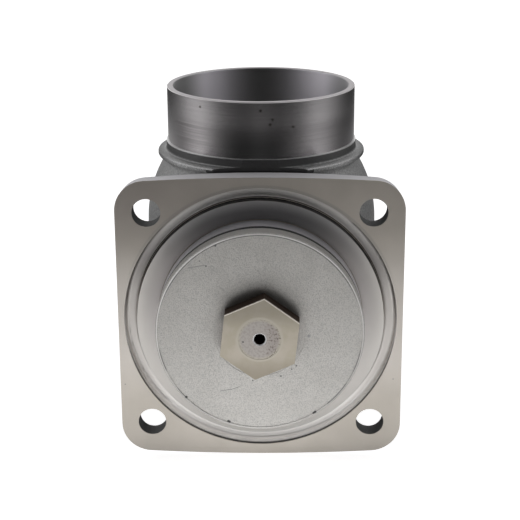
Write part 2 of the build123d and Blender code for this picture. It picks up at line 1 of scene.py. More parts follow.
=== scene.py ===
import json
import math
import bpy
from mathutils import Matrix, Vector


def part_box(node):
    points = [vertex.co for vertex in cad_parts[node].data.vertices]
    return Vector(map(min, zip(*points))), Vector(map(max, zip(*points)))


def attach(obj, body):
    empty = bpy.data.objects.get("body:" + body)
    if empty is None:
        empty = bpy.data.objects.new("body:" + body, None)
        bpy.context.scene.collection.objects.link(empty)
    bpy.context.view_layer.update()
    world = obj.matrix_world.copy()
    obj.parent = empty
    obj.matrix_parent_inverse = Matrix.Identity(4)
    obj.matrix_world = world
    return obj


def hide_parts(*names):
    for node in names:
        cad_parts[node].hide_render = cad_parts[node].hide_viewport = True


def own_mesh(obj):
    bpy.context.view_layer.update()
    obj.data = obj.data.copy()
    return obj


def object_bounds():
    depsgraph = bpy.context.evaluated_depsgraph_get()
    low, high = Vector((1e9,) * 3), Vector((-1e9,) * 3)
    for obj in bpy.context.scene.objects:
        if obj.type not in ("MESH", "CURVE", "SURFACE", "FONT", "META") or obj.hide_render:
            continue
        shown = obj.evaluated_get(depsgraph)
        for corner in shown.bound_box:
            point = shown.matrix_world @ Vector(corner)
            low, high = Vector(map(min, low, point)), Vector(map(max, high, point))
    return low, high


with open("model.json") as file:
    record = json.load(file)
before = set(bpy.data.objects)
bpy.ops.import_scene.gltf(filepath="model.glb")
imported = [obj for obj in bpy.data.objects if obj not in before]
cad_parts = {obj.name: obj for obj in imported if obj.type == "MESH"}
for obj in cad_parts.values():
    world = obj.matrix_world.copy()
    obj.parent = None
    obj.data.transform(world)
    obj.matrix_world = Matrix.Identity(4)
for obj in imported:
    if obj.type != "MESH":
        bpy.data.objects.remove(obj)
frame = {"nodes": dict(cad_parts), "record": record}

from types import SimpleNamespace

import bpy
from mathutils import Matrix, Vector

bpy.context.scene.view_settings.view_transform = "Standard"
cad_box = [list(corner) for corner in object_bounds()]
nodes = frame["nodes"]
MM = 0.001

# Places that the frame tells, in metres: the neck and the bolt holes as mounts, and the ends of pieces
mounts = {mount["name"]: mount for mount in frame["record"]["mounts"]}
neck_mount = mounts["neck"]
bolt_mount = mounts["flange_bolts"]
housing_low, housing_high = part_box("housing")
NECK_Y = neck_mount["pos_m"][1]
NECK_R = neck_mount["dims"]["r_mm"] * MM
NECK_FOOT_Z = neck_mount["pos_m"][2] - neck_mount["dims"]["length_mm"] * MM / 2
NECK_TOP_Z = housing_high.z
NOZZLE_Y = housing_low.y
HOLE_FROM_AXIS = bolt_mount["dims"]["spacing_x_mm"] * MM / 2
HOLE_R = bolt_mount["dims"]["hole_r_mm"] * MM
DISC_FRONT_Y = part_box("valve_disc")[0].y
SEAL_FRONT_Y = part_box("disc_seal")[0].y
BOLT_FRONT_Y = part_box("bleed_bolt")[0].y

# Other places on the valve that the materials follow
BAND_FOOT_Z = 74.2 * MM
BAND_R = 48.8 * MM
COLLAR_TOP_Z = 73.6 * MM
COLLAR_R = 53.2 * MM
FLANGE_BACK_Y = 10.4 * MM
GROOVE_R = 67.4 * MM
GROOVE_INNER_R = 61.1 * MM
GROOVE_FLOOR_Y = 6.5 * MM
DISH_Y = 3.7 * MM
NOZZLE_R = 50.5 * MM
DISC_FACE_R = 49.7 * MM
BOLT_FACE_R = 10.3 * MM
BLEED_R = 2.8 * MM

# Hexagon: from the axis to a flat, degrees from x up to the right upper flat, and from flat to flat
BOLT_FLAT = 18.0 * MM
UPPER_FLAT = 53.5
FLAT_STEP = 60.0

# Marks that the photograph shows, in millimetres: spots at x, z with their radius
NECK_PITS = (
    (0.5, 102.5, 0.8), (6.2, 98.0, 0.75), (5.0, 95.6, 0.75), (16.1, 94.0, 0.75), (-29.1, 102.5, 0.7),
)
FACE_DOTS = ((-68.1, -34.5, 0.45), (66.3, -31.6, 0.45), (45.6, 42.9, 0.45))
RIM_NICKS = (
    (-36.2, -33.3, 0.8), (-15.7, -46.2, 0.8), (-15.1, -46.5, 0.7), (26.9, -41.2, 0.8), (26.2, -41.7, 0.7),
)
DISC_PITS = (
    (-20.8, 44.3, 0.6), (-25.4, 34.2, 0.5), (-28.5, 36.7, 0.35),
    (17.7, -16.8, 0.45), (15.4, -18.6, 0.45), (10.1, -22.3, 0.5), (-3.6, -24.5, 0.45),
)
DISC_SMUDGES = ((23.6, -1.4, 0.9),)
BOLT_PITS = ((-7.9, -1.2, 0.5),)
# Scratches from x, z to x, z
DISC_SCRATCHES = (
    (-19.3, -30.0, -14.0, -29.3), (-14.0, -29.3, -10.1, -27.9), (-34.0, 33.2, -26.0, 34.6),
)
SCRATCH_WIDTH = 0.35 * MM
EDGE_SOFT = 0.1 * MM

# Sockets of a Mix node that mixes colours
MIX_FACTOR = 0
MIX_FIRST = 6
MIX_SECOND = 7
MIX_RESULT = 2


# A socket that is given as the value gets linked, anything else gets set
def feed(tree, socket, value):
    if isinstance(value, bpy.types.NodeSocket):
        tree.links.new(value, socket)
    else:
        socket.default_value = value


def put(tree, kind, inputs=None, **settings):
    node = tree.nodes.new("ShaderNode" + kind)
    for key, value in settings.items():
        setattr(node, key, value)
    for key, value in (inputs or {}).items():
        feed(tree, node.inputs[key], value)
    return node


def calc(tree, operation, *values, clamp=False):
    node = put(tree, "Math", dict(enumerate(values)), operation=operation, use_clamp=clamp)
    return node.outputs[0]


def chain(tree, operation, values):
    result = values[0]
    for value in values[1:]:
        result = calc(tree, operation, result, value)
    return result


def plus(tree, *values):
    return chain(tree, "ADD", values)


def minus(tree, value, by):
    return calc(tree, "SUBTRACT", value, by)


# Product of values: for masks, the part that lies in all of them
def times(tree, *values):
    return chain(tree, "MULTIPLY", values)


def strongest(tree, *masks):
    return chain(tree, "MAXIMUM", masks)


def outside_of(tree, mask):
    return minus(tree, 1.0, mask)


# Sum of masks, each with its weight
def weighed(tree, *parts):
    return plus(tree, *[times(tree, mask, weight) for mask, weight in parts])


def absolute(tree, value):
    return calc(tree, "ABSOLUTE", value)


def distance(tree, first, second):
    return calc(tree, "SQRT", plus(tree, times(tree, first, first), times(tree, second, second)))


# Soft step from low to high while the value goes from start to end
def ramp(tree, value, start, end, low=0.0, high=1.0):
    inputs = {"Value": value, "From Min": start, "From Max": end, "To Min": low, "To Max": high}
    return put(tree, "MapRange", inputs, interpolation_type="SMOOTHSTEP").outputs["Result"]


def fade(tree, value, start, end, high=1.0):
    return ramp(tree, value, start, end, high, 0.0)


# One where the value is between two limits, with soft ends
def within(tree, value, start, end, soft=EDGE_SOFT):
    from_start = ramp(tree, value, start - soft, start + soft)
    to_end = fade(tree, value, end - soft, end + soft)
    return times(tree, from_start, to_end)


def vector(tree, x, y, z):
    return put(tree, "CombineXYZ", {0: x, 1: y, 2: z}).outputs[0]


def noise(tree, at, scale, detail=2.0, roughness=0.5):
    inputs = {"Vector": at, "Scale": scale, "Detail": detail, "Roughness": roughness}
    return put(tree, "TexNoise", inputs).outputs["Fac"]


def colour(red, green, blue):
    return (red, green, blue, 1.0)


def grey(level):
    return colour(level, level, level)


def tint(tree, factor, first, second):
    inputs = {MIX_FACTOR: factor, MIX_FIRST: first, MIX_SECOND: second}
    return put(tree, "Mix", inputs, data_type="RGBA").outputs[MIX_RESULT]


# Tones laid over a base one after another, each within its mask
def painted(tree, base, *layers):
    for mask, tone in layers:
        base = tint(tree, mask, base, tone)
    return base


def clouded(tree, cloud, first, second):
    return tint(tree, ramp(tree, cloud, 0.35, 0.65), first, second)


def own_place(tree):
    return put(tree, "TexCoord").outputs["Object"]


# A point of a piece: its place, the parts of that, and its distance from the valve's axis
def point_on_piece(tree):
    at = own_place(tree)
    x, y, z = put(tree, "SeparateXYZ", {"Vector": at}).outputs
    return SimpleNamespace(at=at, x=x, y=y, z=z, radius=distance(tree, x, z))


# Spots on a face as one mask
def spots(tree, point, places):
    flat = vector(tree, point.x, 0.0, point.z)
    masks = []
    for spot_x, spot_z, radius in places:
        centre = (spot_x * MM, 0.0, spot_z * MM)
        away = put(tree, "VectorMath", {0: flat, 1: centre}, operation="DISTANCE").outputs["Value"]
        masks.append(fade(tree, away, radius * 0.5 * MM, radius * 1.1 * MM))
    return strongest(tree, *masks)


# Straight scratches on a face as one mask
def scratches(tree, point, places):
    masks = []
    for start_x, start_z, end_x, end_z in places:
        run_x = (end_x - start_x) * MM
        run_z = (end_z - start_z) * MM
        square = run_x ** 2 + run_z ** 2
        from_x = minus(tree, point.x, start_x * MM)
        from_z = minus(tree, point.z, start_z * MM)
        part_x = times(tree, from_x, run_x / square)
        part_z = times(tree, from_z, run_z / square)
        along = calc(tree, "ADD", part_x, part_z, clamp=True)
        off_x = minus(tree, from_x, times(tree, along, run_x))
        off_z = minus(tree, from_z, times(tree, along, run_z))
        away = distance(tree, off_x, off_z)
        masks.append(fade(tree, away, SCRATCH_WIDTH * 0.3, SCRATCH_WIDTH))
    return strongest(tree, *masks)


def bump(tree, height, depth, strength):
    return put(tree, "Bump", {"Height": height, "Distance": depth, "Strength": strength}).outputs[0]


def new_material(name):
    material = bpy.data.materials.new(name)
    material.use_nodes = True
    tree = material.node_tree
    return material, tree, tree.nodes["Principled BSDF"]


def wire(tree, shader, **sockets):
    for name, value in sockets.items():
        feed(tree, shader.inputs[name.replace("_", " ")], value)


def dress(material, *names):
    for name in names:
        for slot in nodes[name].material_slots:
            slot.material = material


# Grain of the housing, in cells per metre: a ring on the neck is long round it and thin up it
FINE_SCALE = 2600.0
CAST_SCALE = 1100.0
CLOUD_SCALE = 45.0
RING_ROUND_SCALE = 22.0
RING_UP_SCALE = 2600.0

# Depth of the housing's relief, and the share of it that each surface has
RELIEF = 0.5 * MM
CAST_SHARE = 0.8
BLASTED_SHARE = 0.2
TURNED_SHARE = 0.05

# Tones of the housing; many of them are painted shade, painted light, painted highlights or painted
# reflections: on the flange face, in the groove, dish and bolt holes, at the nozzle's lip, the collar and
# its slot, the neck, its step and its bore
FACE_DARK = colour(0.50, 0.464, 0.415)
FACE_PALE = colour(0.54, 0.50, 0.45)
FACE_TOP_SHADE = colour(0.255, 0.225, 0.215)
FACE_SIDE_LIGHT = colour(0.64, 0.60, 0.555)
FACE_DOT = grey(0.20)
FLANGE_SIDE = colour(0.76, 0.75, 0.77)
HOLE_SHADE_DARK = grey(0.10)
HOLE_SHADE_PALE = grey(0.22)
GROOVE_LOW = colour(0.66, 0.63, 0.60)
GROOVE_TOP_SHADE = colour(0.33, 0.31, 0.30)
GROOVE_PAINTED_LIGHT = colour(0.95, 0.92, 0.89)
GROOVE_CORNER_SHADE = grey(0.05)
GROOVE_EDGE_SHADE = grey(0.24)
WALL_PAINTED_LIGHT = grey(0.95)
INNER_WALL_SHADE = grey(0.05)
OUTER_WALL_SHADE = grey(0.04)
DISH_LOW_LIGHT = colour(0.74, 0.715, 0.68)
DISH_SHADOW_INSIDE = grey(0.24)
DISH_SHADOW_OUTSIDE = grey(0.52)
NOZZLE_SIDE = colour(0.80, 0.78, 0.81)
NOZZLE_GAP_SHADE = grey(0.10)
SKIN_DARK = grey(0.27)
SKIN_PALE = grey(0.45)
COLLAR_LIT_DARK = grey(0.34)
COLLAR_LIT_PALE = grey(0.74)
COLLAR_SHADED_DARK = grey(0.12)
COLLAR_SHADED_PALE = grey(0.28)
SLOT_SHADE = grey(0.15)
BAND_TONE = grey(0.16)
STEP_HIGHLIGHT = grey(0.60)
TURNED_PALE = colour(0.575, 0.545, 0.557)
TURNED_DARK = colour(0.42, 0.40, 0.405)
NECK_HIGHLIGHT = colour(0.86, 0.83, 0.84)
NECK_RIGHT_SHADE = colour(0.30, 0.29, 0.295)
NECK_DARK_REFLECTION = grey(0.15)
NECK_PIT = colour(0.10, 0.08, 0.06)
BORE_MIDDLE = grey(0.48)
BORE_REFLECTION = colour(0.95, 0.92, 0.97)
RIM_TONE = colour(0.60, 0.58, 0.59)


# Grain of the housing: fine for the blasted front, coarse for the cast skin, rings for the turned neck
def housing_grain(tree, point):
    round_x = times(tree, point.x, RING_ROUND_SCALE)
    round_y = times(tree, point.y, RING_ROUND_SCALE)
    rings = vector(tree, round_x, round_y, times(tree, point.z, RING_UP_SCALE))
    return SimpleNamespace(
        fine=noise(tree, point.at, FINE_SCALE, detail=3.0, roughness=0.6),
        coarse=noise(tree, point.at, CAST_SCALE, detail=4.0, roughness=0.65),
        turned=noise(tree, rings, 1.0, detail=3.0, roughness=0.7),
        cloud=noise(tree, point.at, CLOUD_SCALE, detail=3.0),
    )


# Neck: the machined part, its bore, rim and pits, the step at its foot, which takes a painted highlight,
# and the cast band below
def neck_zones(tree, point):
    machined = ramp(tree, point.z, NECK_FOOT_Z - EDGE_SOFT, NECK_FOOT_Z + EDGE_SOFT)
    rim = ramp(tree, point.z, NECK_TOP_Z - 0.35 * MM, NECK_TOP_Z - 0.2 * MM)
    inside = fade(tree, point.neck_radius, NECK_R - 1.2 * MM, NECK_R - 1.0 * MM)
    bore = times(tree, machined, inside, outside_of(tree, rim))
    band_height = within(tree, point.z, BAND_FOOT_Z, NECK_FOOT_Z - 0.3 * MM)
    band_reach = fade(tree, point.neck_radius, BAND_R + 0.1 * MM, BAND_R + 0.5 * MM)
    ahead = fade(tree, point.y, 0.0, NECK_Y)
    return SimpleNamespace(
        machined=machined,
        rim=rim,
        bore=bore,
        band=times(tree, band_height, band_reach),
        step=within(tree, point.z, NECK_FOOT_Z - 0.35 * MM, NECK_FOOT_Z + 0.25 * MM),
        pits=times(tree, spots(tree, point, NECK_PITS), ahead, outside_of(tree, bore), machined),
    )


# Front of the flange: its plane face with painted shade over its top, more at the left, painted light at
# its sides half way up, its dots, and all that is blasted
def front_zones(tree, point):
    face = fade(tree, point.y, 0.3 * MM, 0.6 * MM)
    inside_ring = fade(tree, point.radius, GROOVE_R + 0.2 * MM, GROOVE_R + 0.4 * MM)
    floor_deep = fade(tree, point.y, GROOVE_FLOOR_Y + 0.2 * MM, GROOVE_FLOOR_Y + 0.5 * MM)
    upper = ramp(tree, point.z, 25.0 * MM, 60.0 * MM)
    more_at_left = ramp(tree, point.x, -60.0 * MM, 20.0 * MM, 0.45, 0.12)
    to_side = ramp(tree, absolute(tree, point.x), 50.0 * MM, 66.0 * MM)
    half_way_up = within(tree, point.z, -32.0 * MM, 30.0 * MM, 15.0 * MM)
    return SimpleNamespace(
        face=face,
        blasted=strongest(tree, face, times(tree, inside_ring, floor_deep)),
        top=times(tree, upper, more_at_left, face),
        sides=times(tree, to_side, half_way_up, face),
        dots=times(tree, spots(tree, point, FACE_DOTS), face, 0.6),
    )


def flange_side_zone(tree, point, cast):
    plate = fade(tree, point.y, FLANGE_BACK_Y, FLANGE_BACK_Y + 0.4 * MM)
    past_groove = ramp(tree, point.radius, GROOVE_R + 1.2 * MM, GROOVE_R + 1.6 * MM)
    return times(tree, plate, past_groove, cast)


# Walls of the bolt holes, which take painted shade
def hole_wall_zone(tree, point):
    off_x = minus(tree, absolute(tree, point.x), HOLE_FROM_AXIS)
    off_z = minus(tree, absolute(tree, point.z), HOLE_FROM_AXIS)
    in_hole = fade(tree, distance(tree, off_x, off_z), HOLE_R + 0.15 * MM, HOLE_R + 0.3 * MM)
    return times(tree, in_hole, within(tree, point.y, 0.35 * MM, FLANGE_BACK_Y + 0.2 * MM))


# Seal groove: floor, walls, the corner at the inner wall that takes painted shade, and the edge outside on
# the face that takes painted shade toward the top
def groove_zones(tree, point, face):
    floor_reach = within(tree, point.radius, GROOVE_INNER_R + 0.4 * MM, GROOVE_R - 0.1 * MM)
    floor_deep = within(tree, point.y, GROOVE_FLOOR_Y - 2.0 * MM, GROOVE_FLOOR_Y + 0.3 * MM)
    floor = times(tree, floor_reach, floor_deep)
    inner_reach = within(tree, point.radius, GROOVE_INNER_R - 0.2 * MM, GROOVE_INNER_R + 0.2 * MM)
    inner_deep = within(tree, point.y, 0.7 * MM, GROOVE_FLOOR_Y + 0.3 * MM)
    outer_reach = within(tree, point.radius, GROOVE_R - 0.15 * MM, GROOVE_R + 0.15 * MM)
    outer_deep = within(tree, point.y, 0.6 * MM, GROOVE_FLOOR_Y - 0.2 * MM)
    outer_wall = times(tree, outer_reach, outer_deep)
    at_inner_wall = fade(tree, point.radius, GROOVE_INNER_R + 0.6 * MM, GROOVE_INNER_R + 0.9 * MM)
    above_middle = ramp(tree, point.z, 5.0 * MM, 25.0 * MM)
    edge_reach = within(tree, point.radius, GROOVE_R, GROOVE_R + 1.4 * MM, 0.4 * MM)
    edge_strength = ramp(tree, point.z, 10.0 * MM, 50.0 * MM, 0.0, 0.3)
    low_half = fade(tree, point.z, -25.0 * MM, 5.0 * MM)
    return SimpleNamespace(
        floor=floor,
        inner_wall=times(tree, inner_reach, inner_deep),
        outer_wall=outer_wall,
        corner=times(tree, floor, at_inner_wall, above_middle),
        edge=times(tree, edge_reach, face, edge_strength),
        upper_floor=times(tree, floor, ramp(tree, point.z, 10.0 * MM, 45.0 * MM)),
        low=times(tree, strongest(tree, floor, outer_wall), low_half),
    )


# Dish inside the groove, and the nozzle that stands in it, with its front lip, which takes painted shade by
# the seal's gap
def nozzle_zones(tree, point):
    dish_reach = within(tree, point.radius, NOZZLE_R + 0.3 * MM, GROOVE_INNER_R - 0.2 * MM)
    dish_deep = within(tree, point.y, 0.5 * MM, DISH_Y + 0.3 * MM)
    side_reach = within(tree, point.radius, NOZZLE_R - 0.3 * MM, NOZZLE_R + 0.3 * MM)
    side_height = within(tree, point.y, NOZZLE_Y + 0.8 * MM, DISH_Y - 0.35 * MM)
    lip_reach = within(tree, point.radius, NOZZLE_R - 2.0 * MM, NOZZLE_R + 0.3 * MM)
    lip_height = fade(tree, point.y, NOZZLE_Y + 0.7 * MM, NOZZLE_Y + 0.9 * MM)
    return SimpleNamespace(
        dish=times(tree, dish_reach, dish_deep),
        side=times(tree, side_reach, side_height),
        lip=times(tree, lip_reach, lip_height),
    )


# Collar: its rounded edge, and the slot between its flat cut and the flange, which takes painted shade
def collar_zones(tree, point, cast):
    edge_height = within(tree, point.z, COLLAR_TOP_Z - 2.6 * MM, COLLAR_TOP_Z + 0.6 * MM)
    edge_reach = ramp(tree, point.neck_radius, BAND_R + 0.4 * MM, COLLAR_R - 0.3 * MM, 0.35, 1.0)
    behind_flange = ramp(tree, point.y, FLANGE_BACK_Y + 0.2 * MM, FLANGE_BACK_Y + 0.5 * MM)
    slot_width = within(tree, point.y, FLANGE_BACK_Y - 0.2 * MM, FLANGE_BACK_Y + 3.4 * MM)
    slot_deep = fade(tree, point.z, COLLAR_TOP_Z - 0.9 * MM, COLLAR_TOP_Z - 0.4 * MM)
    cut_width = within(tree, point.y, FLANGE_BACK_Y - 0.2 * MM, FLANGE_BACK_Y + 1.9 * MM)
    cut_height = within(tree, point.z, COLLAR_TOP_Z - 1.2 * MM, BAND_FOOT_Z + 0.4 * MM)
    slot = strongest(tree, times(tree, slot_width, slot_deep), times(tree, cut_width, cut_height))
    return SimpleNamespace(
        edge=times(tree, edge_height, edge_reach, behind_flange, cast),
        slot=times(tree, slot, cast),
    )


# Turned neck: dark turning lines, clearest at the left, a painted highlight along its left edge and over
# its upper part, painted shade on its right side and a painted dark reflection in front above its foot
def neck_tone(tree, point, turned):
    clearness = ramp(tree, point.x, -38.0 * MM, -16.0 * MM, 1.0, 0.35)
    lines = times(tree, ramp(tree, turned, 0.65, 0.35), clearness)
    left_edge = fade(tree, point.x, -46.0 * MM, -38.0 * MM, 0.8)
    right_side = ramp(tree, point.x, 20.0 * MM, 31.0 * MM, 0.0, 0.45)
    low = fade(tree, point.z, NECK_FOOT_Z + 5.0 * MM, NECK_FOOT_Z + 22.0 * MM, 0.95)
    from_middle = absolute(tree, minus(tree, point.x, -3.0 * MM))
    in_front = fade(tree, from_middle, 6.0 * MM, 28.0 * MM)
    upper = ramp(tree, point.z, NECK_FOOT_Z + 12.0 * MM, NECK_FOOT_Z + 20.0 * MM, 0.0, 0.5)
    return painted(
        tree,
        tint(tree, lines, TURNED_PALE, TURNED_DARK),
        (left_edge, NECK_HIGHLIGHT),
        (right_side, NECK_RIGHT_SHADE),
        (times(tree, low, in_front), NECK_DARK_REFLECTION),
        (upper, NECK_HIGHLIGHT),
    )


# Bore: painted reflections on both sides of its middle, fading out at its far left and weaker at its far
# right
def bore_tone(tree, point):
    off_middle = ramp(tree, absolute(tree, point.x), 0.0, 24.0 * MM)
    from_left = ramp(tree, point.x, -41.0 * MM, -29.0 * MM)
    to_right = ramp(tree, point.x, 32.0 * MM, 44.0 * MM, 1.0, 0.2)
    return tint(tree, times(tree, from_left, to_right, off_middle), BORE_MIDDLE, BORE_REFLECTION)


# Groove floor: painted shade toward the top, and painted light off the outer wall at the top and near the
# bottom
def groove_floor_tone(tree, point):
    toward_top = tint(tree, ramp(tree, point.z, 8.0 * MM, 40.0 * MM), GROOVE_LOW, GROOVE_TOP_SHADE)
    off_outer_wall = fade(tree, point.radius, GROOVE_R - 2.4 * MM, GROOVE_R - 0.6 * MM)
    pale_at_top = times(tree, off_outer_wall, ramp(tree, point.z, 20.0 * MM, 55.0 * MM))
    pale_at_foot = fade(tree, point.z, -55.0 * MM, -25.0 * MM, 0.85)
    return tint(tree, strongest(tree, pale_at_top, pale_at_foot), toward_top, GROOVE_PAINTED_LIGHT)


# Inner wall: painted shade in its upper part, painted light below
def inner_wall_tone(tree, point):
    return tint(tree, ramp(tree, point.z, -6.0 * MM, 6.0 * MM), WALL_PAINTED_LIGHT, INNER_WALL_SHADE)


# Outer wall: painted shade next to the face in the lower part, painted light elsewhere
def outer_wall_tone(tree, point):
    next_to_face = tint(tree, ramp(tree, point.z, -28.0 * MM, -5.0 * MM), OUTER_WALL_SHADE, WALL_PAINTED_LIGHT)
    return tint(tree, ramp(tree, point.y, 1.6 * MM, 3.8 * MM), next_to_face, WALL_PAINTED_LIGHT)


# Dish: painted light low down, painted shadow of the nozzle at the top, deepest next to the nozzle
def dish_tone(tree, point):
    outward = ramp(tree, point.radius, NOZZLE_R + 4.0 * MM, GROOVE_INNER_R)
    top = tint(tree, outward, DISH_SHADOW_INSIDE, DISH_SHADOW_OUTSIDE)
    return tint(tree, ramp(tree, point.z, 22.0 * MM, 56.0 * MM), DISH_LOW_LIGHT, top)


# Collar's edge: speckled, with a painted highlight in front and painted shade behind
def collar_tone(tree, point, fine):
    sparkle = ramp(tree, fine, 0.4, 0.6)
    front = tint(tree, sparkle, COLLAR_LIT_DARK, COLLAR_LIT_PALE)
    back = tint(tree, sparkle, COLLAR_SHADED_DARK, COLLAR_SHADED_PALE)
    return tint(tree, ramp(tree, point.y, 22.0 * MM, 50.0 * MM), front, back)


# Housing: cast skin outside, blasted front, turned neck with brushed reflections
def housing_material():
    material, tree, shader = new_material("cast_housing")
    point = point_on_piece(tree)
    point.neck_radius = distance(tree, point.x, minus(tree, point.y, NECK_Y))
    grain = housing_grain(tree, point)
    neck = neck_zones(tree, point)
    front = front_zones(tree, point)
    groove = groove_zones(tree, point, front.face)
    nozzle = nozzle_zones(tree, point)
    cast = calc(tree, "SUBTRACT", outside_of(tree, neck.machined), front.blasted, clamp=True)
    collar = collar_zones(tree, point, cast)
    flange_side = flange_side_zone(tree, point, cast)
    # Tones laid over one another; the flange face, groove, dish, hole, lip, collar, slot, step, neck and
    # bore layers hold painted shade and painted light
    base = painted(
        tree,
        clouded(tree, grain.cloud, FACE_DARK, FACE_PALE),
        (neck.machined, neck_tone(tree, point, grain.turned)),
        (cast, tint(tree, ramp(tree, grain.coarse, 0.3, 0.7), SKIN_DARK, SKIN_PALE)),
        (front.top, FACE_TOP_SHADE),
        (front.sides, FACE_SIDE_LIGHT),
        (groove.floor, groove_floor_tone(tree, point)),
        (groove.outer_wall, outer_wall_tone(tree, point)),
        (groove.corner, GROOVE_CORNER_SHADE),
        (groove.inner_wall, inner_wall_tone(tree, point)),
        (groove.edge, GROOVE_EDGE_SHADE),
        (nozzle.dish, dish_tone(tree, point)),
        (nozzle.side, NOZZLE_SIDE),
        (flange_side, FLANGE_SIDE),
        (hole_wall_zone(tree, point), tint(tree, grain.fine, HOLE_SHADE_DARK, HOLE_SHADE_PALE)),
        (nozzle.lip, NOZZLE_GAP_SHADE),
        (collar.edge, collar_tone(tree, point, grain.fine)),
        (collar.slot, SLOT_SHADE),
        (neck.band, BAND_TONE),
        (neck.step, STEP_HIGHLIGHT),
        (neck.bore, bore_tone(tree, point)),
        (neck.rim, RIM_TONE),
        (neck.pits, NECK_PIT),
        (front.dots, FACE_DOT),
    )
    rough = weighed(
        tree,
        (cast, 0.52),
        (flange_side, 0.25),
        (front.blasted, 0.46),
        (groove.low, -0.08),
        (nozzle.side, 0.2),
        (neck.machined, 0.22),
        (neck.bore, 0.46),
        (neck.rim, 0.38),
    )
    height = plus(
        tree,
        times(tree, cast, CAST_SHARE, grain.coarse),
        times(tree, front.blasted, BLASTED_SHARE, grain.fine),
        times(tree, neck.machined, TURNED_SHARE, grain.turned),
    )
    metal = outside_of(tree, weighed(tree, (flange_side, 0.5), (groove.upper_floor, 0.5)))
    brushed = times(tree, weighed(tree, (neck.machined, 0.3), (neck.bore, 0.6)), outside_of(tree, neck.rim))
    round_neck = put(tree, "Tangent", direction_type="RADIAL", axis="Z").outputs[0]
    wire(tree, shader, Base_Color=base, Roughness=rough, Metallic=metal,
         Anisotropic=brushed, Anisotropic_Rotation=0.25, Tangent=round_neck,
         Normal=bump(tree, height, RELIEF, 0.6))
    return material


# Grain of the disc, in cells per metre, and its tones
DISC_GRAIN_SCALE = 2200.0
DISC_CLOUD_SCALE = 60.0
BREAK_SCALE = 110.0
DISC_DARK = colour(0.545, 0.53, 0.505)
DISC_PALE = colour(0.575, 0.56, 0.535)
DISC_GRAIN = grey(0.27)
DISC_RIM_SHADOW = grey(0.16)
DISC_SIDE = colour(0.62, 0.60, 0.58)
DISC_RIM_LOW = colour(0.55, 0.535, 0.52)
DISC_RIM_HIGHLIGHT = colour(0.92, 0.90, 0.89)
DISC_BACK_SHADE = grey(0.12)
DISC_SCRATCH = grey(0.22)
DISC_SMUDGE = grey(0.34)
DISC_PIT = grey(0.14)
DISC_NICK_AND_SHADOW = grey(0.08)


# Painted shadow line inside the disc's rim: whole at the top, broken at both sides of its foot
def rim_shadow_zone(tree, point, ahead):
    line = within(tree, point.radius, DISC_FACE_R - 0.55 * MM, DISC_FACE_R - 0.15 * MM)
    broken = ramp(tree, noise(tree, point.at, BREAK_SCALE), 0.38, 0.52)
    to_side = ramp(tree, absolute(tree, point.x), 20.0 * MM, 30.0 * MM)
    at_foot = times(tree, broken, to_side, fade(tree, point.z, -12.0 * MM, 0.0, 0.75))
    at_top = ramp(tree, point.z, 12.0 * MM, 26.0 * MM)
    return times(tree, line, ahead, strongest(tree, at_top, at_foot))


# Shade that lies on the disc round the hexagon's upper half
def over_bolt_zone(tree, point, ahead):
    away = distance(tree, point.x, minus(tree, point.z, 1.5 * MM))
    near_bolt = fade(tree, away, 18.5 * MM, 23.0 * MM, 0.7)
    return times(tree, near_bolt, ramp(tree, point.z, 4.0 * MM, 12.0 * MM), ahead)


# Disc: fine blasted grain, a painted shadow line inside its rim, a painted highlight on the rim's upper
# part, painted shade on its back and round the hexagon, with a few nicks and specks
def disc_material():
    material, tree, shader = new_material("blasted_disc")
    point = point_on_piece(tree)
    grain = noise(tree, point.at, DISC_GRAIN_SCALE, detail=3.0, roughness=0.65)
    cloud = noise(tree, point.at, DISC_CLOUD_SCALE, detail=3.0)
    ahead = fade(tree, point.y, DISC_FRONT_Y + 0.35 * MM, DISC_FRONT_Y + 0.45 * MM)
    rim_reach = ramp(tree, point.radius, DISC_FACE_R - 0.05 * MM, DISC_FACE_R + 0.05 * MM)
    rim_height = fade(tree, point.y, DISC_FRONT_Y + 0.4 * MM, DISC_FRONT_Y + 0.55 * MM)
    # The rim's chamfer: a painted highlight on its upper part
    rim_highlight_tone = tint(tree, ramp(tree, point.z, -30.0 * MM, 10.0 * MM), DISC_RIM_LOW, DISC_RIM_HIGHLIGHT)
    side = ramp(tree, point.y, DISC_FRONT_Y + 1.0 * MM, DISC_FRONT_Y + 1.1 * MM)
    before_side = fade(tree, point.y, DISC_FRONT_Y + 1.5 * MM, DISC_FRONT_Y + 2.0 * MM)
    base = painted(
        tree,
        clouded(tree, cloud, DISC_DARK, DISC_PALE),
        (ramp(tree, grain, 0.34, 0.56, 0.52, 0.0), DISC_GRAIN),
        (rim_shadow_zone(tree, point, ahead), DISC_RIM_SHADOW),
        (side, DISC_SIDE),
        (times(tree, rim_reach, rim_height), rim_highlight_tone),
        # Painted shade on the disc's back, next to the seal
        (ramp(tree, point.y, SEAL_FRONT_Y - 0.5 * MM, SEAL_FRONT_Y - 0.35 * MM), DISC_BACK_SHADE),
        (times(tree, scratches(tree, point, DISC_SCRATCHES), ahead, 0.55), DISC_SCRATCH),
        (times(tree, spots(tree, point, DISC_SMUDGES), ahead), DISC_SMUDGE),
        (times(tree, spots(tree, point, DISC_PITS), ahead), DISC_PIT),
        # Dark nicks on the rim; the same tone paints the hexagon's shadow below
        (times(tree, spots(tree, point, RIM_NICKS), before_side), DISC_NICK_AND_SHADOW),
        (over_bolt_zone(tree, point, ahead), DISC_NICK_AND_SHADOW),
    )
    wire(tree, shader, Base_Color=base, Metallic=1.0,
         Roughness=plus(tree, times(tree, side, 0.15), 0.5),
         Normal=bump(tree, grain, 0.35 * MM, 0.6))
    return material


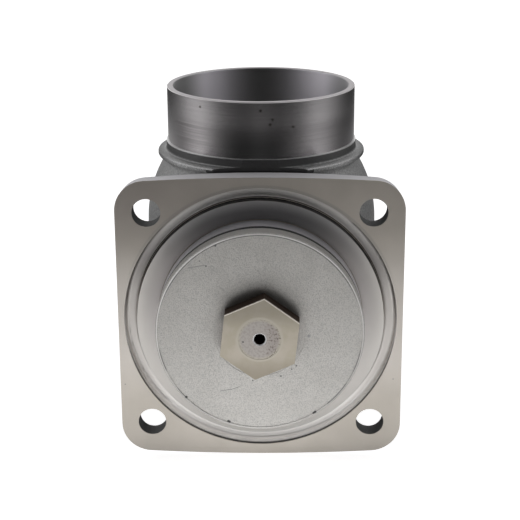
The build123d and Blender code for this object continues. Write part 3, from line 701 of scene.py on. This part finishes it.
# Grain of the hexagon, in cells per metre, and its tones
TURNING_SCALE = 2600.0
SPECK_SCALE = 900.0
HEXAGON_CLOUD_SCALE = 130.0
HEXAGON_DARK = colour(0.45, 0.41, 0.335)
HEXAGON_PALE = colour(0.50, 0.455, 0.39)
HEXAGON_TOP_SHADE = colour(0.26, 0.235, 0.19)
HEXAGON_FOOT_SHADE = colour(0.28, 0.25, 0.20)
HEXAGON_RING = colour(0.50, 0.465, 0.40)
HEXAGON_EDGE_HIGHLIGHT = colour(0.88, 0.83, 0.76)
HEXAGON_SIDE_SHADE = colour(0.15, 0.105, 0.08)
MIDDLE_LEFT = colour(0.46, 0.43, 0.405)
MIDDLE_RIGHT = colour(0.41, 0.375, 0.35)
MIDDLE_WORN = colour(0.24, 0.21, 0.19)
MIDDLE_SPECK = colour(0.15, 0.12, 0.11)
BOLT_PIT = grey(0.12)
BLEED_EDGE = grey(0.95)


# Painted highlight in thin strips along the edges of the hexagon's two upper flats
def upper_edge_highlight_zone(tree, point):
    outward = []
    for angle in (UPPER_FLAT, UPPER_FLAT + FLAT_STEP):
        part_x = times(tree, point.x, math.cos(math.radians(angle)))
        part_z = times(tree, point.z, math.sin(math.radians(angle)))
        outward.append(plus(tree, part_x, part_z))
    return ramp(tree, strongest(tree, *outward), BOLT_FLAT - 0.55 * MM, BOLT_FLAT - 0.35 * MM, 0.0, 0.7)


# Hexagon: turned face with a speckled middle, slightly warm, painted shade over its top and its foot,
# painted highlights along its upper edges and painted shade on its sides
def hexagon_material():
    material, tree, shader = new_material("nickelled_hexagon")
    point = point_on_piece(tree)
    rings = noise(tree, vector(tree, times(tree, point.radius, TURNING_SCALE), 0.0, 0.0), 1.0)
    speck = noise(tree, point.at, SPECK_SCALE, detail=4.0, roughness=0.6)
    cloud = noise(tree, point.at, HEXAGON_CLOUD_SCALE, detail=3.0)
    ahead = fade(tree, point.y, BOLT_FRONT_Y + 0.9 * MM, BOLT_FRONT_Y + 1.0 * MM)
    right = ramp(tree, point.x, 1.0 * MM, 6.0 * MM)
    middle = fade(tree, point.radius, BOLT_FACE_R - 0.3 * MM, BOLT_FACE_R + 0.1 * MM)
    ring = within(tree, point.radius, BOLT_FACE_R - 0.9 * MM, BOLT_FACE_R + 0.9 * MM, 0.7 * MM)
    base = painted(
        tree,
        clouded(tree, cloud, HEXAGON_DARK, HEXAGON_PALE),
        # Painted shade over the top of the face and over its foot
        (ramp(tree, point.z, 3.0 * MM, 15.0 * MM, 0.0, 0.55), HEXAGON_TOP_SHADE),
        (fade(tree, point.z, -19.0 * MM, -6.0 * MM, 0.75), HEXAGON_FOOT_SHADE),
        (middle, tint(tree, right, MIDDLE_LEFT, MIDDLE_RIGHT)),
        (times(tree, ring, ahead), HEXAGON_RING),
        (times(tree, ramp(tree, speck, 0.46, 0.60, 0.0, 0.3), middle), MIDDLE_WORN),
        (times(tree, middle, right, ramp(tree, speck, 0.53, 0.62, 0.0, 0.7)), MIDDLE_SPECK),
        (times(tree, spots(tree, point, BOLT_PITS), ahead), BOLT_PIT),
        (fade(tree, point.radius, BLEED_R + 0.42 * MM, BLEED_R + 0.6 * MM), BLEED_EDGE),
        (upper_edge_highlight_zone(tree, point), HEXAGON_EDGE_HIGHLIGHT),
        # Painted shade on the hexagon's sides
        (outside_of(tree, ahead), HEXAGON_SIDE_SHADE),
    )
    height = plus(tree, times(tree, rings, 0.10), times(tree, speck, middle, 0.30))
    wire(tree, shader, Base_Color=base, Metallic=1.0,
         Roughness=plus(tree, times(tree, middle, 0.04), 0.5),
         Normal=bump(tree, height, 0.3 * MM, 0.5))
    return material


# Grain of the plain materials, in cells per metre
METAL_GRAIN_SCALE = 2500.0
METAL_CLOUD_SCALE = 80.0
RUBBER_SCALE = 900.0
PLASTIC_SCALE = 500.0


# Plain turned or rolled metal with fine grain
def metal_material(name, base, roughness):
    material, tree, shader = new_material(name)
    at = own_place(tree)
    grain = noise(tree, at, METAL_GRAIN_SCALE)
    cloud = noise(tree, at, METAL_CLOUD_SCALE)
    darker = [0.88 * part for part in base]
    wire(tree, shader, Base_Color=clouded(tree, cloud, colour(*darker), colour(*base)), Metallic=1.0,
         Roughness=ramp(tree, cloud, 0.3, 0.7, roughness - 0.05, roughness + 0.05),
         Normal=bump(tree, grain, 0.1 * MM, 0.5))
    return material


def rubber_material():
    material, tree, shader = new_material("black_rubber")
    grain = noise(tree, own_place(tree), RUBBER_SCALE, detail=3.0)
    wire(tree, shader, Base_Color=tint(tree, grain, grey(0.008), grey(0.02)), Roughness=0.75,
         Normal=bump(tree, grain, 0.05 * MM, 0.5))
    return material


def plastic_material():
    material, tree, shader = new_material("brown_plastic")
    grain = noise(tree, own_place(tree), PLASTIC_SCALE, detail=3.0)
    base = tint(tree, grain, colour(0.16, 0.09, 0.05), colour(0.24, 0.15, 0.09))
    wire(tree, shader, Base_Color=base, Roughness=0.5, Normal=bump(tree, grain, 0.05 * MM, 0.3))
    return material


spring_steel = metal_material("spring_steel", (0.20, 0.20, 0.21), 0.38)
dress(housing_material(), "housing", "cylinder_cover", "actuator_body")
dress(disc_material(), "valve_disc")
dress(hexagon_material(), "bleed_bolt")
dress(rubber_material(), "disc_seal", "stem_seal", "stem_wiper", "stop_ring",
      "piston_seal", "piston_o_ring", "cover_o_ring", "pilot_o_ring")
dress(metal_material("zinc_steel", (0.62, 0.63, 0.65), 0.36), "plate_screws", "spring_seat_ring",
      "piston_washer", "piston_nut", "cover_bolts", "cover_washers")
dress(metal_material("stainless_plate", (0.58, 0.58, 0.58), 0.32), "seal_plate")
dress(metal_material("ground_stem", (0.60, 0.60, 0.61), 0.20), "stem")
dress(metal_material("bronze_bush", (0.56, 0.38, 0.20), 0.34), "front_guide_bush", "rear_guide_bush")
dress(metal_material("turned_piston", (0.66, 0.66, 0.67), 0.30), "piston")
dress(plastic_material(), "piston_guide_ring")
dress(spring_steel, "wiper_circlip")

# The return spring gets shorter as the valve opens; here a copy of its mesh, in spring steel, stands in for
# it and hangs on the valve body
spring = bpy.data.objects.new("closing_spring", nodes["return_spring"].data.copy())
bpy.context.scene.collection.objects.link(spring)
spring.data.materials.clear()
spring.data.materials.append(spring_steel)
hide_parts("return_spring")
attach(spring, "valve_body")
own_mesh(spring)

# Camera at the photograph's place: focal length in pixels of the 520 pixel wide frame
FOCAL_PX = 1383.2
FRAME_PX = 520.0
SENSOR_MM = 36.0
NEAREST_SEEN = 0.01
AZIMUTH = math.radians(0.87)
ELEVATION = math.radians(18.13)
ROLL = math.radians(-0.32)
AIM = Vector((-0.01 * MM, 0.0, 31.18 * MM))
AIM_DISTANCE = 674.1 * MM


# Unit vector to a place at an angle to the right of the front and an angle up
def toward(to_right, upward):
    return Vector((
        math.sin(to_right) * math.cos(upward),
        -math.cos(to_right) * math.cos(upward),
        math.sin(upward),
    ))


back = toward(AZIMUTH, ELEVATION)
level = Vector((math.cos(AZIMUTH), math.sin(AZIMUTH), 0.0))
upright = back.cross(level)
right = level * math.cos(ROLL) + upright * math.sin(ROLL)
up = upright * math.cos(ROLL) - level * math.sin(ROLL)
turn = Matrix((right, up, back)).transposed()
camera_data = bpy.data.cameras.new("camera")
camera_data.sensor_width = SENSOR_MM
camera_data.lens = FOCAL_PX / FRAME_PX * SENSOR_MM
camera_data.clip_start = NEAREST_SEEN
camera = bpy.data.objects.new("camera", camera_data)
camera.matrix_world = Matrix.Translation(AIM + back * AIM_DISTANCE) @ turn.to_4x4()
bpy.context.scene.collection.objects.link(camera)
bpy.context.scene.camera = camera

# Soft light, as the reflections on the metal show it: a lit table round the valve that gets dark toward
# the front, bright sides, a pale backdrop behind and a ceiling
# Glows on the table: x, y and radius in metres, level
TABLE_GLOWS = (
    (0.0, -0.03, 0.03, 0.75),
    (-0.07, -0.035, 0.03, 0.28),
    (0.07, -0.035, 0.03, 0.28),
    (0.0, -0.13, 0.06, 1.42),
    (0.0, -0.24, 0.09, 0.38),
    (0.0, -0.47, 0.1, 0.2),
    (-0.2, -0.2, 0.1, 0.75),
    (0.2, -0.2, 0.1, 0.8),
    (-0.14, -0.05, 0.07, 0.85),
    (0.14, -0.05, 0.07, 0.7),
    (-0.47, -0.1, 0.13, 0.8),
    (0.47, -0.1, 0.13, 1.0),
    (-0.9, 0.0, 0.3, 0.5),
    (0.9, 0.0, 0.3, 0.3),
    (-0.35, 0.42, 0.15, 0.3),
    (0.35, 0.42, 0.15, 0.2),
    (0.0, 0.6, 0.2, 0.7),
)
# Lights of the room: degrees to the right of the front, degrees up, sharpness, level
ROOM_LIGHTS = (
    (-90.0, 8.0, 12.0, 1.0),
    (90.0, 8.0, 12.0, 0.3),
    (-90.0, 36.0, 8.0, 0.6),
    (90.0, 36.0, 8.0, 0.8),
    (-142.0, 22.0, 8.0, 0.5),
    (135.0, 36.0, 8.0, 0.3),
    (180.0, 8.0, 7.0, 1.0),
    (180.0, 75.0, 6.0, 0.6),
)
WHITE = grey(1.0)
BACKDROP_LEVEL = 1.0
FLOOR_HALF = 4.0
FLOOR_WHITE = 0.75
FLOOR_SHADE = 0.9
FLOOR_GAP = 0.1 * MM


def table_glow(tree, x, y, glow_x, glow_y, radius, level):
    away_x = minus(tree, x, glow_x)
    away_y = minus(tree, y, glow_y)
    square = plus(tree, times(tree, away_x, away_x), times(tree, away_y, away_y))
    fall = calc(tree, "EXPONENT", times(tree, square, -0.5 / radius ** 2))
    return times(tree, fall, level)


def room_light(tree, direction, azimuth, elevation, sharpness, level):
    axis = toward(math.radians(azimuth), math.radians(elevation))
    facing = put(tree, "VectorMath", {0: direction, 1: axis}, operation="DOT_PRODUCT").outputs["Value"]
    fall = calc(tree, "EXPONENT", times(tree, minus(tree, facing, 1.0), sharpness))
    return times(tree, fall, level)


# One shader where the camera looks straight at it, the other for the light that it gives
def shown_and_lighting(tree, shown, lighting):
    camera_ray = put(tree, "LightPath").outputs["Is Camera Ray"]
    return put(tree, "MixShader", {0: camera_ray, 1: lighting, 2: shown}).outputs[0]


# Floor: white to the camera, with the valve's soft shadow, and a table of glows to the valve
def floor_material():
    material = bpy.data.materials.new("pale_floor")
    material.use_nodes = True
    tree = material.node_tree
    tree.nodes.clear()
    parts = put(tree, "SeparateXYZ", {"Vector": own_place(tree)}).outputs
    glow = plus(tree, *[table_glow(tree, parts["X"], parts["Y"], *values) for values in TABLE_GLOWS])
    table = put(tree, "Emission", {"Color": WHITE, "Strength": glow})
    white = put(tree, "Emission", {"Color": WHITE, "Strength": FLOOR_WHITE})
    lit = put(tree, "BsdfDiffuse", {"Color": grey(FLOOR_SHADE)})
    shown = put(tree, "AddShader", {0: white.outputs[0], 1: lit.outputs[0]})
    surface = shown_and_lighting(tree, shown.outputs[0], table.outputs[0])
    put(tree, "OutputMaterial", {"Surface": surface})
    return material


floor_z = cad_box[0][2] - FLOOR_GAP
floor_corners = [
    (side_x * FLOOR_HALF, side_y * FLOOR_HALF, floor_z)
    for side_x, side_y in ((-1, -1), (1, -1), (1, 1), (-1, 1))
]
floor_mesh = bpy.data.meshes.new("floor")
floor_mesh.from_pydata(floor_corners, [], [(0, 1, 2, 3)])
floor_mesh.materials.append(floor_material())
floor = bpy.data.objects.new("floor", floor_mesh)
bpy.context.scene.collection.objects.link(floor)


# World: a white backdrop to the camera, the room's lights to the valve
def studio_world():
    world = bpy.data.worlds.new("studio")
    world.use_nodes = True
    tree = world.node_tree
    tree.nodes.clear()
    direction = put(tree, "TexCoord").outputs["Generated"]
    level = plus(tree, *[room_light(tree, direction, *values) for values in ROOM_LIGHTS])
    room = put(tree, "Background", {"Color": WHITE, "Strength": level})
    backdrop = put(tree, "Background", {"Color": WHITE, "Strength": BACKDROP_LEVEL})
    surface = shown_and_lighting(tree, backdrop.outputs[0], room.outputs[0])
    put(tree, "OutputWorld", {"Surface": surface})
    return world


bpy.context.scene.world = studio_world()
